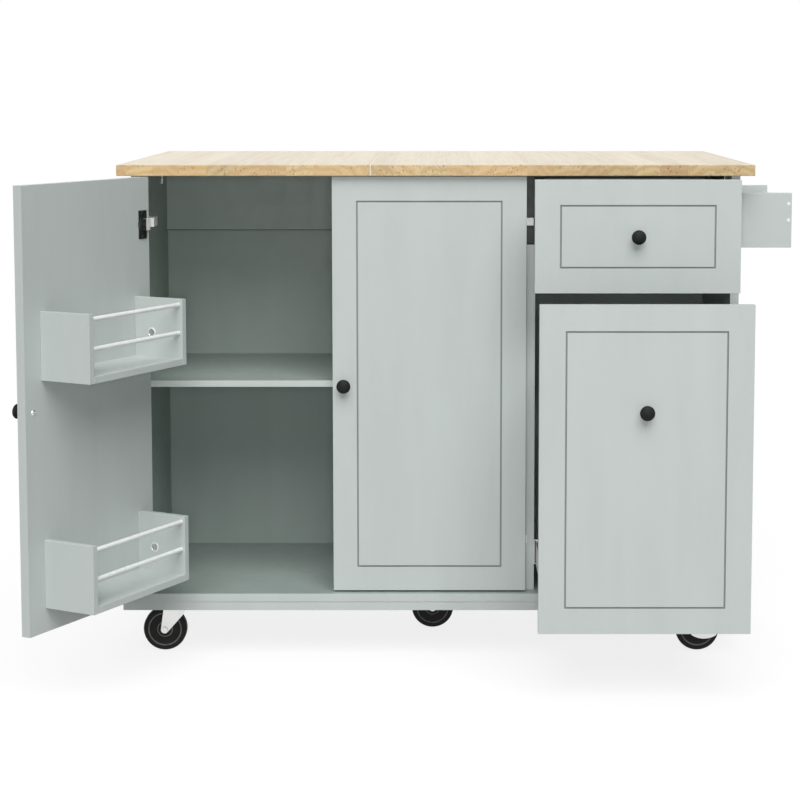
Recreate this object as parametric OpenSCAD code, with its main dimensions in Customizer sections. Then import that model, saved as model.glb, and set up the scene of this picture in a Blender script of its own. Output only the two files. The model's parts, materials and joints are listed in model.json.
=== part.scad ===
// Drop leaf kitchen island on five casters.
// At rest the left door stands open, the drawer and the bin drawer are pulled out
// and the drop leaf is raised at the back.
// X runs along the worktop, Y from front to back and Z up from the floor.
// Lengths are first laid out from the worktop's front edge and its middle, and the
// whole island is then set over the middle of the room that it takes up.

/* [Worktop] */
// Width of the worktop
worktop_w = 1146; // [1130:1:1200]
// Thickness of the worktop and the drop leaf
worktop_t = 20; // [15:1:30]
// Height of the worktop's face above the floor
island_h = 904; // [890:1:940]
// Depth of the fixed worktop
worktop_d = 436; // [430:1:445]
// Width of the left-hand worktop board
left_board_w = 456; // [300:1:800]
// Joint between the two worktop boards
board_joint = 0.5; // [0.2:0.1:2]
// Depth of the drop leaf
leaf_d = 278; // [240:1:340]
// Gap between the worktop and the leaf
leaf_gap = 2; // [2:0.5:4]

/* [Cabinet] */
// Width over the two side panels
cabinet_w = 1102; // [1096:1:1112]
// How far the worktop stands out behind the cabinet's back
back_overhang = 21; // [18:0.5:31]
// Thickness of the side panels and the divider
panel_t = 16; // [15:0.5:17]
// Thickness of the bottom panel
floor_t = 15; // [12:1:18]
// Depth of the bottom panel
base_d = 436; // [425:1:445]
// Height of the rails under the bottom panel
rail_h = 16; // [10:1:20]
// Thickness of the rails under the bottom panel
rail_t = 18; // [12:1:22]
// Thickness of the back panel
back_t = 12; // [6:1:14]
// Height of the rail behind the worktop
rear_rail_h = 126; // [80:1:180]
// Thickness of the rail behind the worktop
rear_rail_t = 15; // [10:1:18]
// Clear width of the bay that holds the drawers
drawer_bay_w = 354; // [350:1:358]
// Thickness of the shelf
shelf_t = 12; // [10:1:18]
// Height of the shelf's face above the bottom panel
shelf_rise = 389; // [385:1:410]
// Height of the notch in the divider's upper front corner
divider_notch_h = 126; // [100:1:150]
// Depth of the notch in the divider's upper front corner
divider_notch_d = 34; // [28:1:34]
// How far the shelf's edge stands behind the panels' front edges
shelf_inset = 3; // [3:1:10]
// Length of a leg of the brackets that hold the worktop
bracket_leg = 30; // [20:1:40]

/* [Fronts] */
// Thickness of the doors and drawer fronts
front_t = 17; // [15:1:19]
// Distance of the fronts behind the worktop's front edge
front_inset = 12; // [8:1:16]
// Gap between the fronts and the panels' front edges
front_clear = 1; // [0.8:0.1:1.5]
// Width of each door
door_w = 351; // [347:0.5:352]
// Gap between the two doors
door_gap = 3; // [2:0.5:4]
// Gap between the right door and the divider, seen from the front
divider_gap = 1; // [0.5:0.1:2]
// Gap above the doors and the drawer front
top_gap = 1.5; // [1:0.5:4]
// Gap between the doors and the bottom panel
bottom_gap = 3.5; // [2:0.5:6]
// Width of the drawer front and the bin drawer front
drawer_front_w = 359; // [357:0.5:360]
// Gap between the drawer fronts and the right side panel's inner face
drawer_side_gap = 3; // [2:0.5:4]
// Height of the drawer front
drawer_front_h = 198; // [180:1:220]
// Gap between the drawer front and the bin drawer front
drawer_gap = 2; // [1:0.5:4]
// Distance of the routed line from a front's edges
groove_inset = 43.5; // [40:0.5:60]
// Width of the routed line
groove_w = 3; // [1:0.5:6]
// Depth of the routed line
groove_depth = 2; // [1:0.5:3]
// How far the left door stands open at rest, in degrees
door_open = 118; // [90:1:120]
// How far the drawer is pulled out at rest
drawer_out = 126; // [60:1:160]
// How far the bin drawer is pulled out at rest
bin_out = 295; // [200:1:300]

/* [Drawer boxes] */
// Thickness of the drawer walls
wall_t = 12; // [9:1:15]
// Thickness of the drawer's bottom
drawer_floor_t = 6; // [3:1:9]
// Thickness of the bin drawer's bottom
bin_floor_t = 12; // [6:1:15]
// Depth of the drawer boxes
box_d = 320; // [310:1:345]
// Height of the drawer's walls
drawer_box_h = 112; // [100:1:120]
// Height of the bin drawer's walls
bin_box_h = 405; // [200:1:430]
// Clear height above the drawer's walls
drawer_box_drop = 14; // [10:1:20]
// Clear height under the bin drawer's walls
bin_box_rise = 20; // [12:1:40]
// Height of the bin drawer's slides above the bottom panel
bin_slide_rise = 70; // [60:1:200]
// Distance of the drawer's slides below the worktop
drawer_slide_drop = 84; // [70:1:90]
// Room for a slide on each side of a box
slide_room = 12.7; // [12.7:0.1:14]
// Height of a slide
slide_h = 45; // [40:1:50]
// Length of a slide
slide_l = 305; // [295:1:308]

/* [Door racks] */
// Length of a rack along the door
rack_l = 276; // [220:1:280]
// Depth of a rack from the door
rack_d = 102; // [80:1:110]
// Height of a rack
rack_h = 117; // [100:1:130]
// Thickness of the rack boards
rack_t = 12; // [9:1:15]
// Distance of a rack from the door's hinged edge
rack_from_edge = 33; // [32:0.5:40]
// Height of the upper rack's foot above the bottom panel
upper_rack_rise = 434; // [420:1:480]
// Height of the lower rack's foot above the bottom panel
lower_rack_rise = 45; // [30:1:80]
// Diameter of a rack rod
rod_dia = 8; // [5:0.5:10]
// Distance of the upper rod below the rack's top edge
rod_drop = 10; // [6:1:20]
// Distance between the two rods
rod_pitch = 50; // [30:1:60]
// Distance of the rods behind the rack's open edge
rod_inset = 8; // [5:1:15]
// Diameter of a cam lock
cam_dia = 17; // [10:1:20]
// Distance of the cam locks from the door
cam_from_door = 36; // [24:1:50]
// Height of the cam locks above the rack's foot
cam_rise = 55; // [30:1:70]

/* [Hardware] */
// Diameter of a knob
knob_dia = 25.5; // [20:0.5:30]
// Height of a knob
knob_h = 22; // [18:0.5:24]
// Distance of a door knob from the door's free edge
knob_from_edge = 20; // [16:0.5:38]
// Height of the bin drawer's knob above the middle of its front
bin_knob_rise = 100; // [0:1:180]
// Diameter of a knob's screw
knob_screw_dia = 4; // [3:0.5:5]
// Height of a hinge's flange on a door
hinge_flange_h = 51; // [44:1:60]
// Distance of the upper hinges below the doors' top edges
upper_hinge_drop = 84.5; // [60:0.5:110]
// Distance of the lower hinges above the doors' bottom edges
lower_hinge_rise = 91.5; // [60:0.5:110]
// Diameter of the pocket for a hinge cup
cup_dia = 26; // [24:1:27]
// Depth of the pocket for a hinge cup
cup_depth = 12; // [10:0.5:12.5]
// Number of hinges between worktop and leaf
leaf_hinges = 4; // [2:1:6]
// Width of a leaf hinge
leaf_hinge_w = 60; // [40:1:70]
// Distance between the outermost leaf hinges
leaf_hinge_spread = 880; // [840:1:960]
// Distance of a stay's pivots from the leaf's hinge line
stay_reach = 170; // [150:1:185]
// Distance between the two leaf stays
stay_spread = 660; // [620:1:700]

/* [Towel rail] */
// Reach of the towel brackets from the side panel
towel_reach = 100; // [80:1:120]
// Height of a towel bracket
towel_bracket_h = 100; // [80:1:120]
// Distance of the towel brackets below the worktop
towel_drop = 34; // [20:1:80]
// Thickness of a towel bracket
towel_bracket_t = 15; // [12:1:18]
// Distance of the front bracket behind the worktop's front edge
towel_front = 65; // [50:1:80]
// Length of the towel rail between its brackets
towel_rail_l = 260; // [200:1:280]
// Height of the towel rail
towel_rail_h = 45; // [30:1:60]
// Thickness of the towel rail
towel_rail_t = 12; // [10:1:18]
// Distance of the towel rail below the brackets' top edges
towel_rail_drop = 13; // [5:1:18]

/* [Casters] */
// Height of a caster under the bottom panel
caster_h = 105; // [102:1:112]
// Diameter of a wheel
wheel_dia = 80; // [74:1:82]
// Width of a wheel
wheel_w = 24; // [20:1:26]
// Distance from a caster's swivel to its axle
caster_trail = 11; // [8:1:14]
// Distance of the left casters' swivels from the bottom panel's end
caster_left = 81; // [70:1:120]
// Distance of the right casters' swivels from the bottom panel's end
caster_right = 76; // [70:1:120]
// Distance of the swivels from the bottom panel's front and back edges
caster_edge = 61; // [58:1:80]
// Distance of the centre caster's swivel to the right of the middle
centre_caster_x = 5; // [-20:1:20]
// Diameter of an axle
axle_dia = 8; // [6:0.5:9]
// Width of a brake pedal
pedal_w = 46; // [40:1:50]

/* [Hidden] */
$fn = 64;
past = 1;                 // how far a cut runs past a face
fit = 0.1;                // running clearance of a pin in its bore
paint = [0.76, 0.79, 0.78];
wood = [0.87, 0.75, 0.57];
nickel = [0.75, 0.75, 0.76];
zinc = [0.85, 0.86, 0.87];
black = [0.13, 0.13, 0.13];
white = [0.92, 0.92, 0.91];

// Heights
under_z = island_h - worktop_t;
floor_z = caster_h + floor_t;
rail_z = caster_h - rail_h;
shelf_z = floor_z + shelf_rise - shelf_t;
front_top_z = under_z - top_gap;
front_foot_z = floor_z + bottom_gap;
door_h = front_top_z - front_foot_z;
drawer_foot_z = front_top_z - drawer_front_h;
bin_front_h = drawer_foot_z - drawer_gap - front_foot_z;
drawer_box_z = under_z - drawer_box_drop - drawer_box_h;
bin_box_z = floor_z + bin_box_rise;
drawer_slide_z = under_z - drawer_slide_drop;
bin_slide_z = floor_z + bin_slide_rise;
hinge_zs = [front_top_z - upper_hinge_drop, front_foot_z + lower_hinge_rise];

// Places across the width
half_w = worktop_w / 2;
side_x = cabinet_w / 2;
inner_x = side_x - panel_t;
bay_x = inner_x - drawer_bay_w;
divider_x = bay_x - panel_t;
right_door_end = divider_x - divider_gap;
right_door_x = right_door_end - door_w;
left_door_x = right_door_x - door_gap - door_w;
drawer_front_x = inner_x - drawer_side_gap - drawer_front_w;
drawer_mid_x = drawer_front_x + drawer_front_w / 2;
box_x = bay_x + slide_room;
box_w = drawer_bay_w - 2 * slide_room;

// Places from front to back
front_back_y = front_inset + front_t;
carcass_y = front_back_y + front_clear;
back_y = worktop_d - back_overhang;
back_in_y = back_y - back_t;
rear_rail_y = back_in_y - rear_rail_t;
leaf_y = worktop_d + leaf_gap;

// Line that a door turns about, off its hinged edge and in front of its face
axis_in = 4.4;
axis_front = 4.3;
left_axis = [left_door_x + axis_in, front_inset - axis_front];

// Hinge line of the leaf, and the pivots of its stays on the cabinet and the leaf
leaf_pin_drop = 3.5;
leaf_axis = [worktop_d + leaf_gap / 2, under_z - leaf_pin_drop];
stay_offset = 7.5;
wall_pivot = [leaf_axis[0] - stay_offset, leaf_axis[1] - stay_reach];
leaf_pivot = [leaf_axis[0] + stay_reach, leaf_axis[1] - stay_offset];
stay_run = leaf_pivot - wall_pivot;
stay_arm_l = norm(stay_run) / 2;
stay_angle = atan2(stay_run[1], stay_run[0]);
knee = wall_pivot + stay_run / 2;

// Casters: places of the swivels
caster_back = base_d - caster_edge;
FRONT_LEFT = [caster_left - half_w, caster_edge];
FRONT_RIGHT = [half_w - caster_right, caster_edge];
CENTRE = [centre_caster_x, base_d / 2];
REAR_LEFT = [caster_left - half_w, caster_back];
REAR_RIGHT = [half_w - caster_right, caster_back];
CASTERS = [FRONT_LEFT, FRONT_RIGHT, CENTRE, REAR_LEFT, REAR_RIGHT];

// The room the island takes up at rest, and its middle
function turned(p, a) = [p[0] * cos(a) - p[1] * sin(a), p[0] * sin(a) + p[1] * cos(a)];
free_edge = door_w - axis_in;
door_corner = left_axis + turned([free_edge, axis_front + front_t], -door_open);
knob_rim = left_axis + turned([free_edge - knob_from_edge + knob_dia / 2,
                               axis_front - knob_h * 0.72], -door_open);
least_x = min(knob_rim[0], -half_w);
most_x = side_x + towel_reach;
least_y = min(door_corner[1], front_inset - bin_out - knob_h);
most_y = leaf_y + leaf_d;
middle = [(least_x + most_x) / 2, (least_y + most_y) / 2];

// ---------------------------------------------------------------- shared shapes

module stand() {
    translate([-middle[0], -middle[1], 0]) children();
}

// A block between two corners, given in any order
module block(a, b) {
    low = [min(a[0], b[0]), min(a[1], b[1]), min(a[2], b[2])];
    high = [max(a[0], b[0]), max(a[1], b[1]), max(a[2], b[2])];
    translate(low) cube(high - low);
}

// A rod or hole along X, Y or Z between two ends
module along_x(x0, x1, y, z, r) {
    translate([x0, y, z]) rotate([0, 90, 0]) cylinder(r = r, h = x1 - x0);
}
module along_y(x, y0, y1, z, r) {
    translate([x, y0, z]) rotate([-90, 0, 0]) cylinder(r = r, h = y1 - y0);
}
module along_z(x, y, z0, z1, r) {
    translate([x, y, z0]) cylinder(r = r, h = z1 - z0);
}

module at_left_door() {
    translate([left_axis[0], left_axis[1], 0]) rotate([0, 0, -door_open])
        translate([-left_axis[0], -left_axis[1], 0]) children();
}
module at_drawer() {
    translate([0, -drawer_out, 0]) children();
}
module at_bin() {
    translate([0, -bin_out, 0]) children();
}

// ---------------------------------------------------------------- worktop and leaf

module worktop_left_board() {
    color(wood) block([-half_w, 0, under_z],
                      [left_board_w - half_w - board_joint, worktop_d, island_h]);
}

module worktop_right_board() {
    color(wood) block([left_board_w - half_w, 0, under_z], [half_w, worktop_d, island_h]);
}

module drop_leaf() {
    color(wood) block([-half_w, leaf_y, under_z], [half_w, leaf_y + leaf_d, island_h]);
}

// Angle brackets in the corners between worktop and panels
bracket_t = 2;
bracket_w = 20;
bracket_from_front = 80;
bracket_from_back = 83;

module worktop_bracket(face, way, y) {
    block([face, y, under_z - bracket_t], [face + way * bracket_leg, y + bracket_w, under_z]);
    block([face, y, under_z - bracket_leg], [face + way * bracket_t, y + bracket_w, under_z]);
}

module worktop_brackets() {
    color(nickel) for (y = [carcass_y + bracket_from_front, back_in_y - bracket_from_back]) {
        worktop_bracket(-inner_x, 1, y);
        worktop_bracket(divider_x, -1, y);
        worktop_bracket(inner_x, -1, y);
    }
}

// Butt hinges between worktop and leaf
hinge_pitch = leaf_hinge_spread / (leaf_hinges - 1);
LEAF_HINGE_XS = [for (i = [0 : leaf_hinges - 1]) i * hinge_pitch - leaf_hinge_spread / 2];
plate_t = 1.5;
knuckle_r = leaf_pin_drop - fit;
knuckle_l = leaf_hinge_w / 3;
knuckle_gap = 0.4;
hinge_pin_r = 1.6;
hinge_plate_d = 26;

// Knuckle of a leaf hinge with the tab that joins it to its plate
module knuckle(x0, x1, way) {
    y = leaf_axis[0];
    along_x(x0, x1, y, leaf_axis[1], knuckle_r);
    block([x0, y + way, under_z - plate_t], [x1, y + way * (knuckle_r + 0.7), under_z]);
}

module leaf_hinge_fixed_plates() {
    y = leaf_axis[0];
    h = leaf_hinge_w / 2;
    color(nickel) for (x = LEAF_HINGE_XS) {
        block([x - h, back_y + 0.5, under_z - plate_t], [x + h, y - knuckle_r - 0.2, under_z]);
        knuckle(x - h, x - knuckle_l / 2 - knuckle_gap, -1);
        knuckle(x + knuckle_l / 2 + knuckle_gap, x + h, -1);
        along_x(x - h, x + h, y, leaf_axis[1], hinge_pin_r);
    }
}

module leaf_hinge_moving_plates() {
    y = leaf_axis[0];
    h = leaf_hinge_w / 2;
    color(nickel) for (x = LEAF_HINGE_XS) difference() {
        union() {
            block([x - h, y + knuckle_r + 0.2, under_z - plate_t],
                  [x + h, y + hinge_plate_d, under_z]);
            knuckle(x - knuckle_l / 2, x + knuckle_l / 2, 1);
        }
        along_x(x - knuckle_l, x + knuckle_l, y, leaf_axis[1], hinge_pin_r + fit);
    }
}

// A leaf stay is a stack along X about its middle: wall lug, lower arm, upper arm
// and leaf lug
STAY_XS = [-stay_spread / 2, stay_spread / 2];
lug_t = 2;
arm_t = 2.5;
arm_w = 12;
arm_play = 0.2;           // between an arm and the stay's middle
lug_x = 3;                // from the stay's middle to a lug
stay_pin_r = 3;
stay_plate_h = 60;
stay_plate_w = 24;

// A flat bar with round ends, from one pivot along an angle
module stay_bar(x, pivot, angle) {
    translate([x, pivot[0], pivot[1]]) rotate([angle, 0, 0]) rotate([90, 0, 90])
        linear_extrude(arm_t) {
            circle(d = arm_w);
            translate([0, -arm_w / 2]) square([stay_arm_l, arm_w]);
            translate([stay_arm_l, 0]) circle(d = arm_w);
        }
}

module stay_wall_plates() {
    y = wall_pivot[0];
    z = wall_pivot[1];
    color(zinc) for (x = STAY_XS) {
        block([x - stay_plate_w / 2, back_y, z - stay_plate_h / 2],
              [x + stay_plate_w / 2, back_y + lug_t, z + stay_plate_h / 2]);
        block([x - lug_x - lug_t, back_y + lug_t, z - arm_w / 2],
              [x - lug_x, y, z + arm_w / 2]);
        along_x(x - lug_x - lug_t, x - lug_x, y, z, arm_w / 2);
        along_x(x - lug_x - lug_t - 1.5, x - lug_x - lug_t, y, z, 4.5);
        along_x(x - lug_x, x - arm_play, y, z, stay_pin_r);
    }
}

module stay_leaf_plates() {
    y = leaf_pivot[0];
    z = leaf_pivot[1];
    color(zinc) for (x = STAY_XS) {
        block([x - stay_plate_w / 2, y - stay_plate_h / 2, under_z - lug_t],
              [x + stay_plate_w / 2, y + stay_plate_h / 2, under_z]);
        block([x + lug_x, y - arm_w / 2, z], [x + lug_x + lug_t, y + arm_w / 2, under_z - lug_t]);
        along_x(x + lug_x, x + lug_x + lug_t, y, z, arm_w / 2);
        along_x(x + lug_x + lug_t, x + lug_x + lug_t + 1.5, y, z, 4.5);
        along_x(x + arm_play, x + lug_x, y, z, stay_pin_r);
    }
}

module stay_lower_arms() {
    color(zinc) for (x = STAY_XS) {
        difference() {
            stay_bar(x - arm_play - arm_t, wall_pivot, stay_angle);
            along_x(x - lug_x - past, x + past, wall_pivot[0], wall_pivot[1], stay_pin_r + fit);
        }
        along_x(x - arm_play - arm_t - 1, x - arm_play - 1, knee[0], knee[1], 4.5);
    }
}

module stay_upper_arms() {
    color(zinc) for (x = STAY_XS) {
        difference() {
            stay_bar(x + arm_play, leaf_pivot, stay_angle + 180);
            along_x(x - past, x + lug_x + past, leaf_pivot[0], leaf_pivot[1], stay_pin_r + fit);
        }
        along_x(x + arm_play + 1, x + arm_play + arm_t + 1, knee[0], knee[1], 4.5);
    }
}

// ---------------------------------------------------------------- cabinet

// The shelf rests on four pins in blind holes
pin_r = 2.5;
pin_hole_d = 9;           // depth of a pin's hole
pin_out = 8;              // how far a pin stands out of its hole
pin_from_edge = 50;       // from the shelf's front and back
PIN_YS = [carcass_y + pin_from_edge, back_in_y - pin_from_edge];

// Pins or, with a wider radius, their holes in the panel whose face is given
module pins(face, way, r, out) {
    for (y = PIN_YS) {
        x0 = min(face - way * pin_hole_d, face + way * out);
        along_x(x0, x0 + pin_hole_d + out, y, shelf_z - pin_r, r);
    }
}

module left_side_panel() {
    color(paint) difference() {
        block([-side_x, carcass_y, floor_z], [-inner_x, back_y, under_z]);
        pins(-inner_x, 1, pin_r + fit, past);
    }
}

module right_side_panel() {
    color(paint) block([inner_x, carcass_y, floor_z], [side_x, back_y, under_z]);
}

module centre_divider() {
    color(paint) difference() {
        block([divider_x, carcass_y, floor_z], [bay_x, back_in_y, under_z]);
        block([divider_x - past, carcass_y - past, under_z - divider_notch_h],
              [bay_x + past, carcass_y + divider_notch_d, under_z + past]);
        pins(divider_x, -1, pin_r + fit, past);
    }
}

module bottom_panel() {
    color(paint) block([-half_w, 0, caster_h], [half_w, base_d, floor_z]);
}

module base_rails() {
    e = 1;                // the rails stand this far inside the bottom panel's edge
    color(paint) {
        for (y = [e, base_d - e - rail_t])
            block([e - half_w, y, rail_z], [half_w - e, y + rail_t, caster_h]);
        for (x = [e - half_w, half_w - e - rail_t])
            block([x, e + rail_t, rail_z], [x + rail_t, base_d - e - rail_t, caster_h]);
    }
}

module back_panel() {
    color(paint) block([-inner_x, back_in_y, floor_z], [inner_x, back_y, under_z]);
}

module top_rear_rail() {
    color(paint) for (ends = [[-inner_x, divider_x], [bay_x, inner_x]])
        block([ends[0], rear_rail_y, under_z - rear_rail_h], [ends[1], back_in_y, under_z]);
}

module interior_shelf() {
    color(paint) block([1 - inner_x, carcass_y + shelf_inset, shelf_z],
                       [divider_x - 1, back_in_y - 1, shelf_z + shelf_t]);
}

module shelf_pins() {
    color(nickel) {
        pins(-inner_x, 1, pin_r, pin_out);
        pins(divider_x, -1, pin_r, pin_out);
    }
}

// ---------------------------------------------------------------- doors and fronts

// A door or drawer front with a routed line round its face and a hole for its knob
module routed_front(x, z, w, h, knob_x, knob_z) {
    g = groove_inset;
    b = groove_inset + groove_w;
    difference() {
        block([x, front_inset, z], [x + w, front_back_y, z + h]);
        difference() {
            block([x + g, front_inset - past, z + g],
                  [x + w - g, front_inset + groove_depth, z + h - g]);
            block([x + b, front_inset - 2 * past, z + b],
                  [x + w - b, front_inset + groove_depth + past, z + h - b]);
        }
        along_y(knob_x, front_inset - past, front_back_y + past, knob_z,
                knob_screw_dia / 2 + 0.3);
    }
}

// A mushroom knob on a front's face, with its screw from the back
module knob(x, z) {
    stem_r = knob_dia / 4;
    rim_y = front_inset - knob_h + 7;
    apex = front_inset - knob_h;
    cap_h = 4.5;
    cap_r = (pow(knob_dia / 2, 2) + cap_h * cap_h) / (2 * cap_h);
    color(black) {
        translate([x, 0, z]) rotate([-90, 0, 0]) rotate_extrude()
            polygon([[0, rim_y], [knob_dia / 2 - 1.2, rim_y + 1.8], [stem_r, rim_y + 5],
                     [stem_r, front_inset - 3], [stem_r + 2, front_inset], [0, front_inset]]);
        intersection() {
            along_y(x, apex - past, rim_y + 0.01, z, knob_dia / 2);
            translate([x, apex + cap_r, z]) sphere(r = cap_r, $fn = 96);
        }
        translate([x, 0, z]) rotate([-90, 0, 0]) rotate_extrude()
            polygon([[0, rim_y], [knob_dia / 2, rim_y], [knob_dia / 2 - 1.2, rim_y + 1.8],
                     [0, rim_y + 1.8]]);
        along_y(x, front_inset, front_back_y, z, knob_screw_dia / 2);
        along_y(x, front_back_y, front_back_y + 2.2, z, knob_screw_dia / 2 + 3);
    }
}

door_knob_z = front_foot_z + door_h / 2;
left_knob_x = left_door_x + door_w - knob_from_edge;
right_knob_x = right_door_x + knob_from_edge;
drawer_knob_z = drawer_foot_z + drawer_front_h / 2;
bin_knob_z = front_foot_z + bin_front_h / 2 + bin_knob_rise;

// Distances from a door's hinged edge, and from its inner face, for its hinges
cup_t = 19.5;
flange_t0 = 8;
flange_t1 = 31;
stub_t0 = 6.4;
stub_t1 = 18;
stub_half = 10;
stub_n = 8;
neck_t0 = 10.5;           // the knuckle's neck, which stands in the cup
neck_half = 6;
arm_t0 = 19;
arm_t1 = 29.5;
cup_r = cup_dia / 2 - fit;
cup_wall = 1;

// Cup, flange and knuckle of a hinge on a door. way is 1 where the hinged edge is on
// the left and -1 where it is on the right.
module cup_hinge(edge, way, z) {
    cx = edge + way * cup_t;
    y = front_back_y;
    foot = y - cup_depth;
    difference() {
        union() {
            along_y(cx, foot, y, z, cup_r);
            block([edge + way * flange_t0, y, z - hinge_flange_h / 2],
                  [edge + way * flange_t1, y + plate_t, z + hinge_flange_h / 2]);
            for (s = [-1, 1])
                along_y(cx, y + plate_t, y + plate_t + 1, z + s * (hinge_flange_h / 2 - 4), 3);
        }
        along_y(cx, foot + cup_wall, y + plate_t + past, z, cup_r - cup_wall);
    }
    block([edge + way * stub_t0, y, z - stub_half],
          [edge + way * stub_t1, y + stub_n, z + stub_half]);
    block([edge + way * neck_t0, foot + cup_wall, z - neck_half],
          [edge + way * stub_t1, y + stub_n, z + neck_half]);
}

// Arm and mounting plate of a hinge on a panel's face, with the places of the arm and
// of the plate's wings behind the panel's front edge
arm_front = 8;
arm_back = 55;
arm_half = 8;
arm_foot = 18;
wing_front = 34;
wing_back = 48;
wing_half = 24;
wing_screw = 18;
mount_t = 2;

module hinge_arm(face, edge, way, z) {
    y0 = carcass_y + arm_front;
    y1 = carcass_y + arm_back;
    wing_y = carcass_y + (wing_front + wing_back) / 2;
    block([edge + way * arm_t0, y0, z - arm_half], [edge + way * arm_t1, y1, z + arm_half]);
    block([face, carcass_y + arm_foot, z - arm_half], [edge + way * arm_t0, y1, z + arm_half]);
    block([face, y0 + mount_t, z - arm_half - mount_t],
          [face + way * mount_t, y1 + 3 * mount_t, z + arm_half + mount_t]);
    block([face, carcass_y + wing_front, z - wing_half],
          [face + way * mount_t, carcass_y + wing_back, z + wing_half]);
    for (s = [-1, 1])
        along_x(min(face + way * mount_t, face + way * (mount_t + 1.2)),
                max(face + way * mount_t, face + way * (mount_t + 1.2)),
                wing_y, z + s * wing_screw, 3.5);
}

// Steel tabs at the right door's hinges: one across the divider's notch, one on its edge
tab_t = 1.6;
tab_half = 7;
tab_foot = 5.5;           // from the notch's back to the upper tab
tab_edge = 3;             // width of the lower tab

module door_hinge_plates() {
    tab_y = carcass_y + divider_notch_d - tab_foot;
    color(nickel) {
        for (z = hinge_zs) {
            hinge_arm(-inner_x, left_door_x, 1, z);
            hinge_arm(divider_x, right_door_end, -1, z);
        }
        block([divider_x - mount_t, tab_y - tab_t, hinge_zs[0] - tab_half],
              [bay_x - mount_t, tab_y, hinge_zs[0] + tab_half]);
        block([divider_x, carcass_y - tab_t / 2, hinge_zs[1] - tab_half],
              [divider_x + tab_edge, carcass_y, hinge_zs[1] + tab_half]);
    }
}

module door_pockets(edge, way) {
    for (z = hinge_zs)
        along_y(edge + way * cup_t, front_back_y - cup_depth, front_back_y + past, z,
                cup_dia / 2);
}

module left_door() {
    color(paint) at_left_door() difference() {
        routed_front(left_door_x, front_foot_z, door_w, door_h, left_knob_x, door_knob_z);
        door_pockets(left_door_x, 1);
    }
}

module right_door() {
    color(paint) difference() {
        routed_front(right_door_x, front_foot_z, door_w, door_h, right_knob_x, door_knob_z);
        door_pockets(right_door_end, -1);
    }
}

module left_hinge_cups() {
    color(nickel) at_left_door() for (z = hinge_zs) cup_hinge(left_door_x, 1, z);
}

module right_hinge_cups() {
    color(nickel) for (z = hinge_zs) cup_hinge(right_door_end, -1, z);
}

module left_door_knob() {
    at_left_door() knob(left_knob_x, door_knob_z);
}

module right_door_knob() {
    knob(right_knob_x, door_knob_z);
}

// ---------------------------------------------------------------- door racks

rack_x = left_door_x + rack_from_edge;
rack_y = front_back_y;
RACK_ZS = [floor_z + upper_rack_rise, floor_z + lower_rack_rise];

module rack_ends() {
    color(paint) at_left_door() for (z = RACK_ZS, x = [rack_x, rack_x + rack_l - rack_t])
        block([x, rack_y, z], [x + rack_t, rack_y + rack_d, z + rack_h]);
}

module rack_shelves() {
    color(paint) at_left_door() for (z = RACK_ZS)
        block([rack_x + rack_t, rack_y, z],
              [rack_x + rack_l - rack_t, rack_y + rack_d, z + rack_t]);
}

module rack_rods() {
    color(white) at_left_door() for (z = RACK_ZS, drop = [rod_drop, rod_drop + rod_pitch])
        along_x(rack_x + rack_t, rack_x + rack_l - rack_t, rack_y + rack_d - rod_inset,
                z + rack_h - drop, rod_dia / 2);
}

module rack_cam_locks() {
    y = rack_y + cam_from_door;
    color(nickel) at_left_door() for (z = RACK_ZS) {
        along_x(rack_x + rack_t, rack_x + rack_t + 1, y, z + cam_rise, cam_dia / 2);
        along_x(rack_x + rack_l - rack_t - 1, rack_x + rack_l - rack_t, y, z + cam_rise,
                cam_dia / 2);
    }
}

// ---------------------------------------------------------------- drawers

// Two side walls and a back wall of a box behind its front
module box_walls(z, h) {
    y0 = front_back_y;
    y1 = front_back_y + box_d;
    for (x = [box_x, box_x + box_w - wall_t]) block([x, y0, z], [x + wall_t, y1, z + h]);
    block([box_x + wall_t, y1 - wall_t, z], [box_x + box_w - wall_t, y1, z + h]);
}

module box_bottom(z, t) {
    block([box_x + wall_t, front_back_y, z],
          [box_x + box_w - wall_t, front_back_y + box_d - wall_t, z + t]);
}

module drawer_front() {
    color(paint) at_drawer() routed_front(drawer_front_x, drawer_foot_z, drawer_front_w,
                                          drawer_front_h, drawer_mid_x, drawer_knob_z);
}
module drawer_walls() {
    color(paint) at_drawer() box_walls(drawer_box_z, drawer_box_h);
}
module drawer_bottom() {
    color(paint) at_drawer() box_bottom(drawer_box_z + 8, drawer_floor_t);
}
module drawer_knob() {
    at_drawer() knob(drawer_mid_x, drawer_knob_z);
}
module bin_front() {
    color(paint) at_bin() routed_front(drawer_front_x, front_foot_z, drawer_front_w,
                                       bin_front_h, drawer_mid_x, bin_knob_z);
}
module bin_walls() {
    color(paint) at_bin() box_walls(bin_box_z, bin_box_h);
}
module bin_bottom() {
    color(paint) at_bin() box_bottom(bin_box_z + 10, bin_floor_t);
}
module bin_knob() {
    at_bin() knob(drawer_mid_x, bin_knob_z);
}

// Telescopic slides: an outer channel on the cabinet, a middle one, and an inner one
// on the box, nested with room to run. way is 1 on the bay's left wall.
slide_web = 1.2;
slide_play = 1;

// A channel with its web from web_x to web_x + slide_web off the wall and its lips
// between lip0 and lip1
module channel(face, way, y0, z, half, web_x, lip0, lip1) {
    block([face + way * web_x, y0, z - half],
          [face + way * (web_x + slide_web), y0 + slide_l, z + half]);
    for (s = [-1, 1])
        block([face + way * lip0, y0, z + s * half],
              [face + way * lip1, y0 + slide_l, z + s * (half - slide_web)]);
}

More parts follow.
